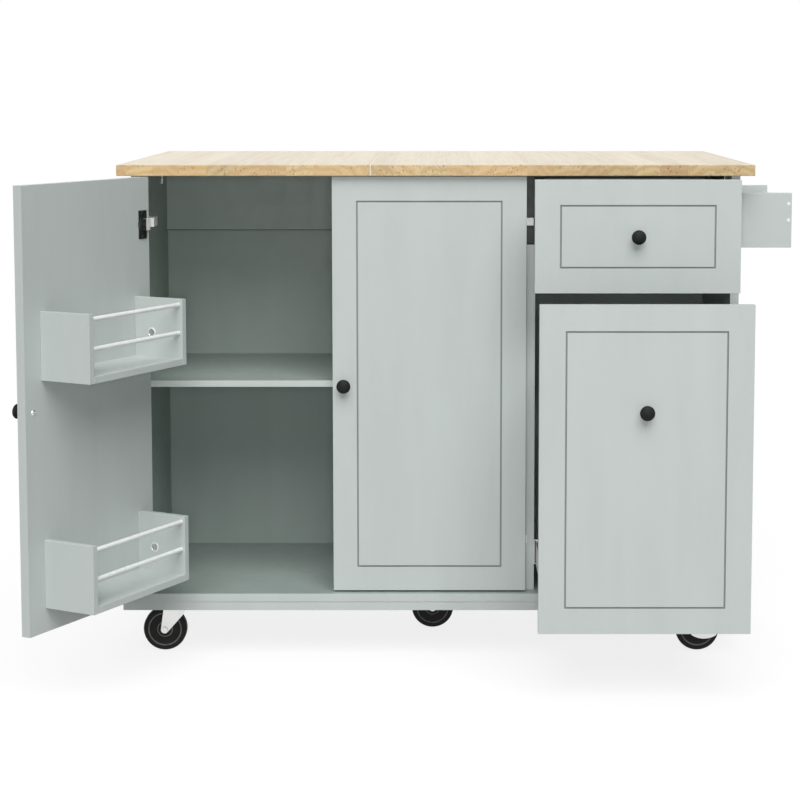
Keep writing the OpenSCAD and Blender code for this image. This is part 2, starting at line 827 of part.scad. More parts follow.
module slide_pair(level, out, z) {
    y0 = carcass_y + 4 - out;
    step = slide_web + slide_play;
    for (side = [[bay_x, 1], [inner_x, -1]]) {
        if (level == 0)
            channel(side[0], side[1], y0, z, slide_h / 2, 0, 0, 10);
        if (level == 1)
            channel(side[0], side[1], y0, z, slide_h / 2 - step, 3, 3, 10);
        if (level == 2)
            channel(side[0], side[1], y0, z, slide_h / 2 - 2 * step,
                    slide_room - slide_web, 5.2, slide_room);
    }
}

module slide_outers() {
    color(zinc) for (z = [drawer_slide_z, bin_slide_z]) slide_pair(0, 0, z);
}
module drawer_slide_middles() {
    color(zinc) slide_pair(1, drawer_out / 2, drawer_slide_z);
}
module drawer_slide_inners() {
    color(zinc) slide_pair(2, drawer_out, drawer_slide_z);
}
module bin_slide_middles() {
    color(zinc) slide_pair(1, bin_out / 2, bin_slide_z);
}
module bin_slide_inners() {
    color(zinc) slide_pair(2, bin_out, bin_slide_z);
}

// ---------------------------------------------------------------- towel rail

towel_top_z = under_z - towel_drop;
towel_rail_z = towel_top_z - towel_rail_drop - towel_rail_h;
towel_back = towel_front + towel_bracket_t + towel_rail_l;

module towel_brackets() {
    color(paint) for (y = [towel_front, towel_back])
        block([side_x, y, towel_top_z - towel_bracket_h],
              [side_x + towel_reach, y + towel_bracket_t, towel_top_z]);
}

module towel_rail() {
    color(paint) block([side_x + towel_reach - towel_rail_t, towel_front + towel_bracket_t,
                        towel_rail_z],
                       [side_x + towel_reach, towel_back, towel_rail_z + towel_rail_h]);
}

module towel_rail_screws() {
    x = side_x + towel_reach - towel_rail_t / 2;
    color(white) for (s = [-1, 1]) {
        z = towel_rail_z + towel_rail_h / 2 + s * towel_rail_h / 3;
        along_y(x, towel_front - 1, towel_front, z, 3.5);
        along_y(x, towel_back + towel_bracket_t, towel_back + towel_bracket_t + 1, z, 3.5);
    }
}

// ---------------------------------------------------------------- casters

caster_plate = 60;
caster_plate_t = 2.5;
race_r = 21;
race_h = 5;
crown_gap = 0.6;
crown_t = 4.9;
crown_r = 24;
crown_top = caster_plate_t + race_h + crown_gap;   // below the plate's top, as all here
crown_foot = crown_top + crown_t;
kingpin_r = 5;
leg_t = 2.5;
leg_in = wheel_w / 2 + 1.5;
leg_out = leg_in + leg_t;
leg_front = 10;
leg_back = 26;
leg_side_h = 19;
leg_corner_h = 25;
axle_r = axle_dia / 2;
wheel_r = wheel_dia / 2;
axle_drop = caster_h - wheel_r;
boss_r = axle_r + 3;

// Puts a caster that trails along -X, drawn down from its plate's top, at its place
module at_caster(place) {
    translate([place[0], place[1], caster_h]) children();
}

module caster_plates() {
    h = caster_plate / 2;
    color(zinc) for (place = CASTERS) at_caster(place) {
        block([-h, -h, -caster_plate_t], [h, h, 0]);
        along_z(0, 0, -caster_plate_t - race_h, -caster_plate_t, race_r);
        along_z(0, 0, -crown_foot - 0.6, -caster_plate_t - race_h, kingpin_r);
        along_z(0, 0, -crown_foot - 3.5, -crown_foot - 0.5, kingpin_r + 2);
        for (x = [8 - h, h - 8], y = [8 - h, h - 8])
            along_z(x, y, -caster_plate_t - 2, -caster_plate_t, 3.5);
    }
}

// One leg of a fork seen along the axle
module leg_outline() {
    difference() {
        union() {
            polygon([[-leg_front, -crown_top], [leg_back, -crown_top],
                     [leg_back, -crown_foot - leg_side_h],
                     [leg_back - 4, -crown_foot - leg_corner_h],
                     [-caster_trail + boss_r * cos(45), -axle_drop - boss_r * sin(45)],
                     [-caster_trail - boss_r, -axle_drop]]);
            translate([-caster_trail, -axle_drop]) circle(r = boss_r);
        }
        translate([-caster_trail, -axle_drop]) circle(r = axle_r);
    }
}

module caster_fork(place) {
    axle_end = leg_out + 2.5;
    color(zinc) at_caster(place) {
        difference() {
            union() {
                along_z(0, 0, -crown_foot, -crown_top, crown_r);
                block([-leg_front, -leg_in, -crown_foot], [leg_back, leg_in, -crown_top]);
            }
            along_z(0, 0, -crown_foot - past, past - crown_top, kingpin_r + fit);
        }
        for (y = [-leg_in, leg_out])
            translate([0, y, 0]) rotate([90, 0, 0]) linear_extrude(leg_t) leg_outline();
        along_y(-caster_trail, -axle_end, axle_end, -axle_drop, axle_r);
        for (y = [-axle_end, leg_out]) along_y(-caster_trail, y, y + 2.5, -axle_drop, axle_r + 1.5);
    }
}

module caster_wheel(place) {
    w = wheel_w / 2;
    tread = wheel_r * 0.75;
    hub = wheel_r * 0.36;
    color(black) at_caster(place) translate([-caster_trail, 0, -axle_drop]) rotate([90, 0, 0])
        difference() {
            rotate_extrude($fn = 96) polygon([
                [0, -w], [hub, -w], [hub + 0.8, 2 - w], [tread - 1, 2 - w], [tread, 0.4 - w],
                [wheel_r - 3, 0.4 - w], [wheel_r, 3.4 - w], [wheel_r, w - 3.4],
                [wheel_r - 3, w - 0.4], [tread, w - 0.4], [tread - 1, w - 2],
                [hub + 0.8, w - 2], [hub, w], [0, w]
            ]);
            translate([0, 0, -w - past]) cylinder(r = axle_r + fit, h = wheel_w + 2 * past);
        }
}

// Brake pedal that hangs in front of a wheel from a pin between two ears
pedal_y = -leg_out - 5.5;
pedal_pivot = -crown_foot - 7.5;
pedal_t = 2;
pedal_pin_r = 1.5;
ear_x = 12.5;
ear_t = 2.5;

module pedal_ears(place) {
    color(zinc) at_caster(place) {
        for (s = [-1, 1]) {
            block([s * ear_x, pedal_y - 2.5, pedal_pivot - 3],
                  [s * (ear_x + ear_t), pedal_y + 3, -crown_foot]);
            block([s * ear_x, pedal_y - 2.5, -crown_foot], [s * (ear_x + ear_t), 0, -crown_top]);
        }
        along_x(-ear_x - ear_t, ear_x + ear_t, pedal_y, pedal_pivot, pedal_pin_r);
    }
}

module caster_brake(place) {
    arc_r = 42;
    foot = -caster_h + 25;
    neck = pedal_pivot - 5.5;
    color(zinc) at_caster(place) difference() {
        union() {
            translate([0, pedal_y + pedal_t / 2, 0]) rotate([90, 0, 0]) linear_extrude(pedal_t) {
                intersection() {
                    translate([0, foot + arc_r]) circle(r = arc_r);
                    translate([-pedal_w / 2, foot - past])
                        square([pedal_w, neck - foot + past]);
                }
                translate([past - ear_x, neck - past])
                    square([2 * (ear_x - past), pedal_pivot - neck + past]);
            }
            along_x(0.3 - ear_x, ear_x - 0.3, pedal_y, pedal_pivot, 3);
        }
        along_x(-ear_x, ear_x, pedal_y, pedal_pivot, pedal_pin_r + fit);
    }
}

module front_left_fork() {
    caster_fork(FRONT_LEFT);
}
module front_right_fork() {
    caster_fork(FRONT_RIGHT);
    pedal_ears(FRONT_RIGHT);
}
module centre_fork() {
    caster_fork(CENTRE);
}
module rear_left_fork() {
    caster_fork(REAR_LEFT);
    pedal_ears(REAR_LEFT);
}
module rear_right_fork() {
    caster_fork(REAR_RIGHT);
}
module front_left_wheel() {
    caster_wheel(FRONT_LEFT);
}
module front_right_wheel() {
    caster_wheel(FRONT_RIGHT);
}
module centre_wheel() {
    caster_wheel(CENTRE);
}
module rear_left_wheel() {
    caster_wheel(REAR_LEFT);
}
module rear_right_wheel() {
    caster_wheel(REAR_RIGHT);
}
module front_right_brake() {
    caster_brake(FRONT_RIGHT);
}
module rear_left_brake() {
    caster_brake(REAR_LEFT);
}

stand() worktop_left_board();
stand() worktop_right_board();
stand() worktop_brackets();
stand() left_side_panel();
stand() right_side_panel();
stand() centre_divider();
stand() bottom_panel();
stand() base_rails();
stand() back_panel();
stand() top_rear_rail();
stand() interior_shelf();
stand() shelf_pins();
stand() door_hinge_plates();
stand() slide_outers();
stand() towel_brackets();
stand() towel_rail();
stand() towel_rail_screws();
stand() leaf_hinge_fixed_plates();
stand() stay_wall_plates();
stand() caster_plates();
stand() left_door();
stand() left_hinge_cups();
stand() left_door_knob();
stand() rack_ends();
stand() rack_shelves();
stand() rack_rods();
stand() rack_cam_locks();
stand() right_door();
stand() right_hinge_cups();
stand() right_door_knob();
stand() drawer_front();
stand() drawer_walls();
stand() drawer_bottom();
stand() drawer_slide_inners();
stand() drawer_knob();
stand() drawer_slide_middles();
stand() bin_front();
stand() bin_walls();
stand() bin_bottom();
stand() bin_slide_inners();
stand() bin_knob();
stand() bin_slide_middles();
stand() drop_leaf();
stand() leaf_hinge_moving_plates();
stand() stay_leaf_plates();
stand() stay_lower_arms();
stand() stay_upper_arms();
stand() front_left_fork();
stand() front_right_fork();
stand() centre_fork();
stand() rear_left_fork();
stand() rear_right_fork();
stand() front_left_wheel();
stand() front_right_wheel();
stand() centre_wheel();
stand() rear_left_wheel();
stand() rear_right_wheel();
stand() front_right_brake();
stand() rear_left_brake();
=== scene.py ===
import math

import bpy
from mathutils import Matrix, Vector
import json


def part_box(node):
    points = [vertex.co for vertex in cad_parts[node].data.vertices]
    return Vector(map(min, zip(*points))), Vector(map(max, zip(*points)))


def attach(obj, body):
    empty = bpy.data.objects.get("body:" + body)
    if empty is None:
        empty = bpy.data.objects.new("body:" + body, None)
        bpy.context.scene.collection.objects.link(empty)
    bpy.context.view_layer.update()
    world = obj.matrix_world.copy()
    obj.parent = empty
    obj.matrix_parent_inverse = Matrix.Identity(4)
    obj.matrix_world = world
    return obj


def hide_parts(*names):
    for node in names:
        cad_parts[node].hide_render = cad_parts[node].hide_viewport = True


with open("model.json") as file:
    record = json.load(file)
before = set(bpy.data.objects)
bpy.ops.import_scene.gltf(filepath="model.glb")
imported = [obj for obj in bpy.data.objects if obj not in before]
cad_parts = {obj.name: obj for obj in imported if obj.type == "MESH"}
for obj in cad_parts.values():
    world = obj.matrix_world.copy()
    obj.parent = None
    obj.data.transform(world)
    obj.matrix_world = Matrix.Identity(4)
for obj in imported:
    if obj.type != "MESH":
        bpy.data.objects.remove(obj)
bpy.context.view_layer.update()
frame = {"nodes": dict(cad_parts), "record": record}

NODES = frame["nodes"]
BODY_OF = {node: body for body, nodes in frame["record"]["behaviour"]["bodies"].items()
           for node in nodes}

# Lengths are written in millimetres, from the middle of the worktop's front edge and
# up from the floor. OFFSET takes them to the frame.
MM = 0.001
WORKTOP_W = 1146
WORKTOP_D = 436
WORKTOP_T = 20
WORKTOP_TOP = 904
LEFT_BOARD_W = 456
BOARD_GAP = 0.5
BASE_FOOT = 105
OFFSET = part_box("bottom_panel")[0] - Vector((-WORKTOP_W / 2, 0, BASE_FOOT)) * MM


def at(x, y, z):
    return Vector((x, y, z)) * MM + OFFSET


# ---------------------------------------------------------------- working by hand

def deselect():
    if bpy.context.mode != "OBJECT":
        bpy.ops.object.mode_set(mode="OBJECT")
    bpy.ops.object.select_all(action="DESELECT")


def take(*pieces):
    """Selects the pieces and makes the first one active."""
    deselect()
    for piece in pieces:
        piece.select_set(True)
    bpy.context.view_layer.objects.active = pieces[0]


def edit(piece):
    take(piece)
    bpy.ops.object.mode_set(mode="EDIT")
    bpy.ops.mesh.select_all(action="DESELECT")


def apply_modifier(piece, kind, **settings):
    take(piece)
    modifier = piece.modifiers.new(kind.lower(), kind)
    for key, value in settings.items():
        setattr(modifier, key, value)
    bpy.ops.object.modifier_apply(modifier=modifier.name)


def smooth(piece, degrees=35):
    take(piece)
    bpy.ops.object.shade_smooth_by_angle(angle=math.radians(degrees))


def dress(piece, material, body, slot, *nodes):
    """Gives a finished piece its material and body, and hides the nodes it stands for;
    the slot is not used.
    """
    piece.data.materials.clear()
    piece.data.materials.append(material)
    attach(piece, body)
    if nodes:
        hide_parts(*nodes)
    return piece


def part_finish(piece, material, test, moved=Matrix()):
    """Gives a second finish to the faces whose middle, in millimetres and before the
    piece was moved, and whose direction pass the test."""
    back = moved.inverted()
    piece.data.materials.append(material)
    for face in piece.data.polygons:
        middle = (back @ face.center - OFFSET) / MM
        if test(middle, back.to_3x3() @ face.normal):
            face.material_index = len(piece.data.materials) - 1


def eased(node, material, slot, width=0.7, segments=2):
    """A copy of a node's shape with its sharp edges rounded, in its place."""
    piece = bpy.data.objects.new(node + "_eased", NODES[node].data.copy())
    bpy.context.collection.objects.link(piece)
    edit(piece)
    bpy.ops.mesh.select_all(action="SELECT")
    bpy.ops.mesh.remove_doubles(threshold=0.002 * MM)
    bpy.ops.mesh.dissolve_limited(angle_limit=math.radians(0.8))
    deselect()
    apply_modifier(piece, "BEVEL", width=width * MM, segments=segments,
                   limit_method="ANGLE", angle_limit=math.radians(40),
                   use_clamp_overlap=True)
    smooth(piece)
    # flat faces keep their own normals, so that only the rounded edges shade
    apply_modifier(piece, "WEIGHTED_NORMAL", keep_sharp=True)
    return dress(piece, material, BODY_OF[node], slot, node)


def turned(name, profile, steps=48, closed=False):
    """A shape turned about the Z axis from its profile of (radius, height) points."""
    deselect()
    bpy.ops.mesh.primitive_plane_add(size=MM)
    piece = bpy.context.object
    piece.name = name
    bpy.ops.object.mode_set(mode="EDIT")
    bpy.ops.mesh.select_all(action="SELECT")
    bpy.ops.mesh.merge(type="CENTER")
    here = Vector((profile[0][0], 0, profile[0][1])) * MM
    bpy.ops.transform.translate(value=here)
    for radius, height in profile[1:] + ([profile[0]] if closed else []):
        there = Vector((radius, 0, height)) * MM
        bpy.ops.mesh.extrude_region_move(TRANSFORM_OT_translate={"value": there - here})
        here = there
    bpy.ops.mesh.select_all(action="SELECT")
    bpy.ops.mesh.spin(steps=steps, angle=math.tau, center=(0, 0, 0), axis=(0, 0, 1))
    bpy.ops.mesh.select_all(action="SELECT")
    bpy.ops.mesh.remove_doubles(threshold=0.001 * MM)
    bpy.ops.mesh.normals_make_consistent(inside=False)
    deselect()
    smooth(piece)
    return piece


def block(name, low, high):
    """A block between two corners, in its place."""
    deselect()
    low, high = Vector(low) * MM, Vector(high) * MM
    bpy.ops.mesh.primitive_cube_add(size=1, location=(low + high) / 2, scale=high - low)
    bpy.ops.object.transform_apply(location=True, rotation=True, scale=True)
    piece = bpy.context.object
    piece.name = name
    return piece


def cut(piece, tool):
    apply_modifier(piece, "BOOLEAN", operation="DIFFERENCE", object=tool, solver="EXACT")
    bpy.data.objects.remove(tool)


def cross(piece, wide, long, low, high):
    """Cuts a cross of two slots, given by the halves of their width and length."""
    for x, y in ((wide, long), (long, wide)):
        cut(piece, block("slot", (-x, -y, low), (x, y, high)))


def facing(place, direction, turn=0.0):
    """Puts a shape drawn up the Z axis at a place, looking along a direction."""
    look = Vector(direction).to_track_quat("Z", "Y").to_matrix().to_4x4()
    return Matrix.Translation(place) @ look @ Matrix.Rotation(math.radians(turn), 4, "Z")


def copied(pattern, name, places, material, body, slot, *nodes):
    """One piece made of copies of a pattern shape, one at each place."""
    copies = []
    for place in places:
        copy = bpy.data.objects.new(name, pattern.data.copy())
        bpy.context.collection.objects.link(copy)
        copy.data.transform(place)
        copies.append(copy)
    take(*copies)
    if len(copies) > 1:
        bpy.ops.object.join()
    piece = copies[0]
    piece.name = name
    return dress(piece, material, body, slot, *nodes)


# ---------------------------------------------------------------- finishes

def linear(hex_colour):
    """An sRGB hex colour as linear numbers for a socket."""
    channels = [int(hex_colour[i:i + 2], 16) / 255 for i in (1, 3, 5)]
    return [c / 12.92 if c <= 0.04045 else ((c + 0.055) / 1.055) ** 2.4
            for c in channels] + [1.0]


def add(tree, kind, inputs=None, **settings):
    """Adds a node, with its settings, and its inputs set or linked by name or place."""
    node = tree.nodes.new(kind)
    for key, value in settings.items():
        setattr(node, key, value)
    for key, value in (inputs or {}).items():
        socket = node.inputs[key]
        if isinstance(value, bpy.types.NodeSocket):
            tree.links.new(value, socket)
        elif isinstance(value, str):
            socket.default_value = linear(value)
        else:
            socket.default_value = value
    return node


def start(name, **inputs):
    """A new material with its shader, and the object's coordinates to draw on."""
    material = bpy.data.materials.new(name)
    material.use_nodes = True
    tree = material.node_tree
    tree.nodes.clear()
    shader = add(tree, "ShaderNodeBsdfPrincipled", inputs)
    add(tree, "ShaderNodeOutputMaterial", {"Surface": shader.outputs[0]})
    place = add(tree, "ShaderNodeTexCoord")
    return material, tree, shader, place.outputs["Object"]


def ramp(tree, factor, stops):
    node = add(tree, "ShaderNodeValToRGB", {0: factor})
    steps = node.color_ramp.elements
    while len(steps) < len(stops):
        steps.new(0.5)
    for step, (position, colour) in zip(steps, stops):
        step.position = position
        step.color = linear(colour) if isinstance(colour, str) else [colour] * 3 + [1]
    return node.outputs[0]


def per_mm(length):
    """The noise scale whose patches are about this many millimetres across."""
    return 1 / (length * MM)


def noise(tree, vector, size, detail, roughness=0.5):
    """Soft patches that are about this many millimetres across."""
    return add(tree, "ShaderNodeTexNoise", {
        "Vector": vector, "Scale": per_mm(size), "Detail": detail,
        "Roughness": roughness}).outputs["Fac"]


def coloured(tree, shader, colour):
    tree.links.new(colour, shader.inputs["Base Color"])


def roughened(tree, shader, patches, low, high):
    """Lets the shader's roughness wander between two values with the patches."""
    rough = add(tree, "ShaderNodeMapRange", {0: patches, 1: 0.3, 2: 0.7, 3: low, 4: high})
    tree.links.new(rough.outputs[0], shader.inputs["Roughness"])


def bumped(tree, shader, height, strength, millimetres):
    """Raises the look of the surface with a height, by up to so many millimetres."""
    bump = add(tree, "ShaderNodeBump", {"Height": height, "Strength": strength,
                                        "Distance": millimetres * MM})
    tree.links.new(bump.outputs[0], shader.inputs["Normal"])


# Sprayed satin lacquer on fibreboard: a soft grey green with a broad, low sheen, the
# faint cloudiness of the coats and the fine orange peel of the spray
def lacquered_fibreboard(name, light, mean, dark):
    material, tree, shader, place = start(name, Roughness=0.45)
    tall = add(tree, "ShaderNodeMapping", {"Vector": place, "Scale": (1, 1, 0.16)})
    clouds = noise(tree, tall.outputs[0], 55, 3, 0.55)
    coloured(tree, shader, ramp(tree, clouds, [(0.3, dark), (0.5, mean), (0.7, light)]))
    roughened(tree, shader, noise(tree, place, 18, 4), 0.40, 0.52)
    # orange peel of about 1 mm, drawn at 1.6 mm so that it shows
    bumped(tree, shader, noise(tree, place, 1.6, 1), 0.05, 0.02)
    return material


# Oiled rubberwood staves 48 mm wide, glued side by side from front to back: pale on the
# face, with faint long grain and a fine line at each joint, and warmer end grain, each
# block of its own depth of colour, with soft growth bands and crowds of dark pores. The
# faces' paleness is partly painted light, for the strong light from above on the top;
# the darker end grain is partly the wood's own colour.
def rubberwood(name):
    material, tree, shader, place = start(name)
    stave_w = 48 * MM
    ring_w = 15 * MM
    parts = add(tree, "ShaderNodeSeparateXYZ", {0: place})
    x, along, up = parts.outputs

    def maths(operation, *values):
        return add(tree, "ShaderNodeMath", dict(enumerate(values)),
                   operation=operation).outputs[0]

    def mixed(share, first, second):
        return add(tree, "ShaderNodeMix", {0: share, 6: first, 7: second},
                   data_type="RGBA").outputs["Result"]

    number = maths("FLOOR", maths("DIVIDE", x, stave_w))
    across = maths("SUBTRACT", x, maths("MULTIPLY", number, stave_w))
    chance = add(tree, "ShaderNodeTexWhiteNoise", {"W": number}, noise_dimensions="1D")
    first, second, third = add(tree, "ShaderNodeSeparateColor",
                               {0: chance.outputs["Color"]}).outputs

    # each stave is cut from its own log, whose pith lies off to one side and below
    pith_x = maths("MULTIPLY_ADD", first, 150 * MM, -50 * MM)
    pith_up = maths("MULTIPLY_ADD", second, -120 * MM, 850 * MM)
    log = add(tree, "ShaderNodeCombineXYZ", {
        0: maths("SUBTRACT", across, pith_x), 1: maths("MULTIPLY", along, 0.03),
        2: maths("SUBTRACT", up, pith_up)}).outputs[0]
    far = add(tree, "ShaderNodeVectorMath", {0: log}, operation="LENGTH")
    wander = noise(tree, place, 34, 2)
    rings = maths("MULTIPLY_ADD", wander, 26 * MM, far.outputs["Value"])
    wave = maths("SINE", maths("MULTIPLY", rings, math.tau / ring_w))
    band = maths("MULTIPLY_ADD", wave, 0.5, 0.5)

    # fibres 1.6 mm wide and 30 mm long; pores are 0.3 mm wide, drawn as specks of about
    # 2 mm in the end grain so that they show
    grain = add(tree, "ShaderNodeCombineXYZ", {0: x, 1: maths("MULTIPLY", along, 0.05),
                                               2: up}).outputs[0]
    fibre = noise(tree, grain, 1.6, 3, 0.65)
    specks = ramp(tree, noise(tree, grain, 3.6, 2, 0.6),
                  [(0.575, 0.0), (0.64, 1.0)])
    crowd = ramp(tree, noise(tree, log, 30, 2), [(0.46, 0.05), (0.58, 1.0)])
    marks = maths("MULTIPLY", specks, crowd)

    # grain lines about 6 mm apart that run the length of a stave, and bands of deeper oil
    lines = noise(tree, log, 6, 3, 0.6)
    soaked = noise(tree, grain, 26, 2)
    drawn = maths("MULTIPLY_ADD", lines, 0.55, maths("MULTIPLY", soaked, 0.30))
    face = ramp(tree, maths("MULTIPLY_ADD", fibre, 0.20, drawn),
                [(0.36, "#e3d7c4"), (0.52, "#dccfba"), (0.68, "#cfbea2")])
    face = mixed(maths("MULTIPLY", third, 0.30), face, "#e4d8c6")
    joint = maths("LESS_THAN", across, 0.7 * MM)
    face = mixed(maths("MULTIPLY", joint, 0.35), face, "#b89f7c")
    end = ramp(tree, maths("MULTIPLY_ADD", fibre, 0.45, maths("MULTIPLY", band, 0.40)),
               [(0.1, "#dcc79c"), (0.4, "#d4ba8b"), (0.8, "#c4a26e")])
    end = mixed(maths("MULTIPLY", second, 0.55), end, "#d2a472")
    end = mixed(maths("MULTIPLY", marks, 0.72), end, "#865a32")

    # end grain shows where the surface looks along the staves; elsewhere the pale face
    # colour, partly painted light from above
    looks = add(tree, "ShaderNodeTexCoord").outputs["Normal"]
    normal = add(tree, "ShaderNodeSeparateXYZ", {0: looks}).outputs
    endwise = add(tree, "ShaderNodeMapRange", {0: maths("ABSOLUTE", normal[1]), 1: 0.25,
                                               2: 0.75}).outputs[0]
    colour = mixed(endwise, face, end)
    tone = add(tree, "ShaderNodeMapRange", {0: third, 3: 0.90, 4: 1.06}).outputs[0]
    deepened = maths("MULTIPLY_ADD", endwise, 0.6, 0.4)
    tone = maths("MULTIPLY_ADD", maths("SUBTRACT", tone, 1.0), deepened, 1.0)
    toned = add(tree, "ShaderNodeVectorMath", {0: colour, 3: tone}, operation="SCALE")
    coloured(tree, shader, toned.outputs[0])
    tree.links.new(maths("MULTIPLY_ADD", fibre, 0.16, 0.38), shader.inputs["Roughness"])
    height = maths("SUBTRACT", maths("MULTIPLY", fibre, 0.4),
                   maths("MULTIPLY", marks, endwise))
    bumped(tree, shader, height, 0.25, 0.08)
    return material


# Rolled or cast steel with a thin bright coat: it mirrors softly, with faint blotches
# from the bath and fine scratches of the drum that it was plated in
def plated_steel(name, colour, shade, roughness, blotch=9, metal=1.0):
    material, tree, shader, place = start(name, Metallic=metal)
    bath = noise(tree, place, blotch, 4)
    coloured(tree, shader, ramp(tree, bath, [(0.35, shade), (0.62, colour)]))
    drum = noise(tree, place, 2.2, 5, 0.7)
    roughened(tree, shader, drum, roughness - 0.03, roughness + 0.04)
    bumped(tree, shader, drum, 0.04, 0.03)
    return material


# Paint or moulded plastic: one even colour with a little cloudiness, and a fine grain
# of bumps left by the powder, the brush or the mould
def coated(name, colour, shade, roughness, grain, height, gloss=0.5):
    material, tree, shader, place = start(name, **{"Specular IOR Level": gloss})
    clouds = noise(tree, place, 14, 3)
    coloured(tree, shader, ramp(tree, clouds, [(0.35, shade), (0.65, colour)]))
    grains = noise(tree, place, grain, 2)
    roughened(tree, shader, grains, roughness - 0.05, roughness + 0.05)
    bumped(tree, shader, grains, 0.2, height)
    return material


LACQUER = lacquered_fibreboard("lacquered_fibreboard", "#c2c8c6", "#c0c6c4", "#bdc3c1")
# Painted shade: a darker, greener colour on the faces that look into the cabinet, for the
# shade inside it. It matches how dark they are in the photograph, where that may be only
# shade.
INSIDE_SHADE_LACQUER = lacquered_fibreboard("lacquer_painted_inside_shade",
                                    "#9faba6", "#9ca8a3", "#99a5a0")
# Painted shade: a deeper colour in the routed grooves, for the shade that makes fine dark
# lines on the fronts
GROOVE_SHADE_LACQUER = lacquered_fibreboard("lacquer_painted_groove_shade",
                                      "#8c9391", "#868d8b", "#7f8785")
# Painted shade: a dark colour on the divider's notch and the rear rail's lower edge, for
# two dark strips of shade there. It matches two dark strips in the photograph, which may
# be only shade.
PAINTED_SHADE_EDGE = lacquered_fibreboard("lacquer_painted_edge_shade", "#37413d", "#333c38", "#2e3733")
WOOD = rubberwood("oiled_rubberwood")
# Pale glue and filler for the joint between the two boards: matt and nearly white
FILLER = coated("pale_joint_filler", "#f6efe6", "#efe6da", 0.5, 1.2, 0.03)
# Grey, softly mirroring plate for screws, leaf hinges and brackets
NICKEL = plated_steel("nickel_plated_steel", "#cfcfcc", "#bdbebb", 0.26)
# Dull, dark plate for the hinges' flanges and links, and beside the casters' axles
DARK_NICKEL = plated_steel("dull_nickel_plate", "#5d6361", "#4a504e", 0.38)
# Matt, nearly white plate for the hinges' arms and knuckles and the cam locks' rings
BRIGHT_NICKEL = plated_steel("near_white_nickel_plate", "#f0f0ed", "#e4e3df", 0.45,
                             metal=0.3)
# Pale, even plate for the casters, the stays and their screws
ZINC = plated_steel("bright_zinc_plate", "#e3e3e1", "#dddedc", 0.32, blotch=14)
# Smooth glossy white for the racks' rods and the towel rail's screws
ENAMEL = coated("white_enamelled_steel", "#f4f5f5", "#eceeee", 0.28, 1.5, 0.02)
# Dry black paint with little gloss, for the knobs
KNOB_BLACK = coated("matt_black_paint", "#181a1a", "#121313", 0.58, 0.9, 0.03, 0.2)
# Black rubber with a coarser grain, for the wheels, and a paler colour on their ribs
WHEEL_BLACK = coated("black_moulded_rubber", "#191918", "#131312", 0.6, 1.1, 0.05, 0.2)
WHEEL_RIB = coated("moulded_rubber_paler_ribs", "#7c7c79", "#696966", 0.5, 1.1, 0.05, 0.3)

SLOT_MATERIALS = {"painted_board": LACQUER, "worktop_wood": WOOD,
                  "nickel_hardware": NICKEL, "zinc_hardware": ZINC,
                  "white_steel": ENAMEL, "black_knob": KNOB_BLACK,
                  "wheel_black": WHEEL_BLACK}
SLOT_OF = {part["node"]: part.get("material_slot", "painted_board")
           for part in frame["record"]["subparts"]}
for node, cad in NODES.items():
    cad.data.materials.clear()
    cad.data.materials.append(SLOT_MATERIALS[SLOT_OF[node]])

# ---------------------------------------------------------------- camera

# The photograph was taken level, with its lens shifted far down. Here part of that
# shift is a small tilt, so that other views of the scene show more of the object.
CAMERA_PLACE = at(-1.37, -3611.07, 1053.73)
CAMERA_TILT = 5.6455
camera_data = bpy.data.cameras.new("camera")
camera = bpy.data.objects.new("camera", camera_data)
bpy.context.collection.objects.link(camera)
camera.location = CAMERA_PLACE
camera.rotation_euler = (math.radians(90 - CAMERA_TILT), 0, 0)
camera_data.lens = 90.634
camera_data.sensor_width = 36
camera_data.shift_x = -0.04366
camera_data.shift_y = -0.15
camera_data.clip_start = 0.1
camera_data.clip_end = 60
bpy.context.scene.camera = camera

# ---------------------------------------------------------------- light and floor

SKY_LEVEL = 0.30
FLOOR_GLOW = 0.82


def seen_share(tree):
    """One for a ray that is looked along, straight, in gloss or through glass, and
    nought for a ray that only brings light."""
    rays = add(tree, "ShaderNodeLightPath").outputs
    share = add(tree, "ShaderNodeMath", {0: rays["Is Camera Ray"],
                                         1: rays["Is Glossy Ray"]}, operation="ADD")
    return add(tree, "ShaderNodeMath", {0: share.outputs[0],
                                        1: rays["Is Transmission Ray"]},
               operation="ADD", use_clamp=True).outputs[0]


# White where it is seen, and a dimmer, cooler light on the object
world = bpy.data.worlds.new("plain_studio")
bpy.context.scene.world = world
world.use_nodes = True
sky = world.node_tree
sky.nodes.clear()
seen = seen_share(sky)
level = add(sky, "ShaderNodeMapRange", {0: seen, 3: SKY_LEVEL, 4: 1.0})
cool = add(sky, "ShaderNodeMix", {0: seen, 6: "#e9f2ef", 7: "#ffffff"}, data_type="RGBA")
back = add(sky, "ShaderNodeBackground", {"Color": cool.outputs["Result"],
                                         "Strength": level.outputs[0]})
add(sky, "ShaderNodeOutputWorld", {"Surface": back.outputs[0]})


def lamp(name, kind, energy, **settings):
    light = bpy.data.lights.new(name, kind)
    light.energy = energy
    for key, value in settings.items():
        setattr(light, key, value)
    holder = bpy.data.objects.new(name, light)
    bpy.context.collection.objects.link(holder)
    return holder


# A wide soft light from high in front, so that the fronts are plain and the insides
# dim, a low one from behind for the back, and a weak lamp beside the camera
key = lamp("soft_key", "SUN", energy=2.65, angle=math.radians(50))
key.rotation_euler = (math.radians(40), 0, math.radians(6))
behind = lamp("soft_back", "SUN", energy=1.5, angle=math.radians(60))
behind.rotation_euler = (math.radians(80), 0, math.radians(200))
behind.visible_glossy = False  # at this low angle it would whiten the top
fill = lamp("front_fill", "POINT", energy=62, shadow_soft_size=0.15)
fill.location = at(0, -3600, 1050)

deselect()
bpy.ops.mesh.primitive_plane_add(size=60)
floor = bpy.context.object
floor.name = "floor"
ground = bpy.data.materials.new("matt_white_floor")
ground.use_nodes = True
tree = ground.node_tree
tree.nodes.clear()
shown = seen_share(tree)
